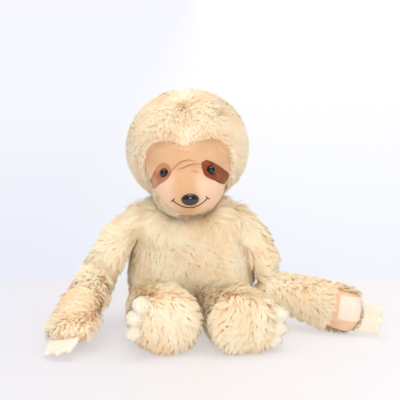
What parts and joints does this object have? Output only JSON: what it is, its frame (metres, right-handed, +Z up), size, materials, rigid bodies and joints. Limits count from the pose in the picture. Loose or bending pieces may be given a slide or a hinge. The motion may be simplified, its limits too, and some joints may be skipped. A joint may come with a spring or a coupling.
{
  "type": "plush sloth",
  "caption": "Seated plush sloth with long poseable arms, short legs, a velour face with domed eyes, palm pads with hook-and-loop tape, and velour claws.",
  "frame": {"origin": "middle of the flat seat, on the surface that the toy sits on", "axes": "+Z up, -Y the way the toy's body faces, +X towards its own left side"},
  "size_m": [0.4296, 0.2463, 0.3094],
  "materials": {
    "plush": "long cream pile",
    "face_velour": "short peach pile",
    "patch_velour": "short brown pile",
    "claw_velour": "short cream pile",
    "tape": "woven hook-and-loop tape",
    "thread": "matt embroidery thread",
    "fill": "loose white fibre",
    "gloss_black": "gloss",
    "washer": "satin"
  },
  "bodies": {
    "body": {"body_cover": "plush", "body_stuffing": "fill"},
    "neck": {"neck_cover": "plush", "neck_stuffing": "fill"},
    "head": {"head_cover": "plush", "head_stuffing": "fill", "face_panel": "face_velour", "eye_patch_left": "patch_velour", "eye_patch_right": "patch_velour", "eye_left": "gloss_black", "eye_right": "gloss_black", "eye_washer_left": "washer", "eye_washer_right": "washer", "nose": "gloss_black", "nose_washer": "washer", "mouth_stitching": "thread"},
    "upper_arm_left": {"upper_arm_cover_left": "plush", "upper_arm_stuffing_left": "fill"},
    "forearm_left": {"forearm_cover_left": "plush", "forearm_stuffing_left": "fill", "palm_pad_left": "face_velour", "palm_tape_left": "tape", "hand_claws_left": "claw_velour"},
    "upper_arm_right": {"upper_arm_cover_right": "plush", "upper_arm_stuffing_right": "fill"},
    "forearm_right": {"forearm_cover_right": "plush", "forearm_stuffing_right": "fill", "palm_pad_right": "face_velour", "palm_tape_right": "tape", "hand_claws_right": "claw_velour"},
    "leg_left": {"leg_cover_left": "plush", "leg_stuffing_left": "fill", "foot_sole_left": "plush", "foot_claws_left": "claw_velour"},
    "leg_right": {"leg_cover_right": "plush", "leg_stuffing_right": "fill", "foot_sole_right": "plush", "foot_claws_right": "claw_velour"}
  },
  "joints": [
    {"name": "neck_turn", "type": "hinge", "parent": "body", "child": "neck", "pos_m": [0, 0, 0.158], "axis": [0, 0, 1], "range_deg": [-40, 40]},
    {"name": "neck_nod", "type": "hinge", "parent": "neck", "child": "head", "pos_m": [0, 0, 0.158], "axis": [1, 0, 0], "range_deg": [-15, 15]},
    {"name": "shoulder_left", "type": "hinge", "parent": "body", "child": "upper_arm_left", "pos_m": [0.06224, 0, 0.126], "axis": [0.8988, 0, 0.4384], "range_deg": [-80, 30]},
    {"name": "elbow_left", "type": "hinge", "parent": "upper_arm_left", "child": "forearm_left", "pos_m": [0.11185, -0.01991, 0.05028], "axis": [-0.409, -0.912, 0.0325], "range_deg": [-49, 22]},
    {"name": "shoulder_right", "type": "hinge", "parent": "body", "child": "upper_arm_right", "pos_m": [-0.06224, 0, 0.126], "axis": [-0.8988, 0, 0.4384], "range_deg": [-60, 50]},
    {"name": "elbow_right", "type": "hinge", "parent": "upper_arm_right", "child": "forearm_right", "pos_m": [-0.12408, -0.02812, 0.05988], "axis": [-0.814, -0.0296, 0.5801], "range_deg": [-48, 23]},
    {"name": "hip_left", "type": "hinge", "parent": "body", "child": "leg_left", "pos_m": [0.041, -0.0603, 0.0405], "axis": [1, 0, 0], "range_deg": [-5, 60]},
    {"name": "hip_right", "type": "hinge", "parent": "body", "child": "leg_right", "pos_m": [-0.041, -0.0603, 0.0405], "axis": [1, 0, 0], "range_deg": [-5, 60]}
  ]
}
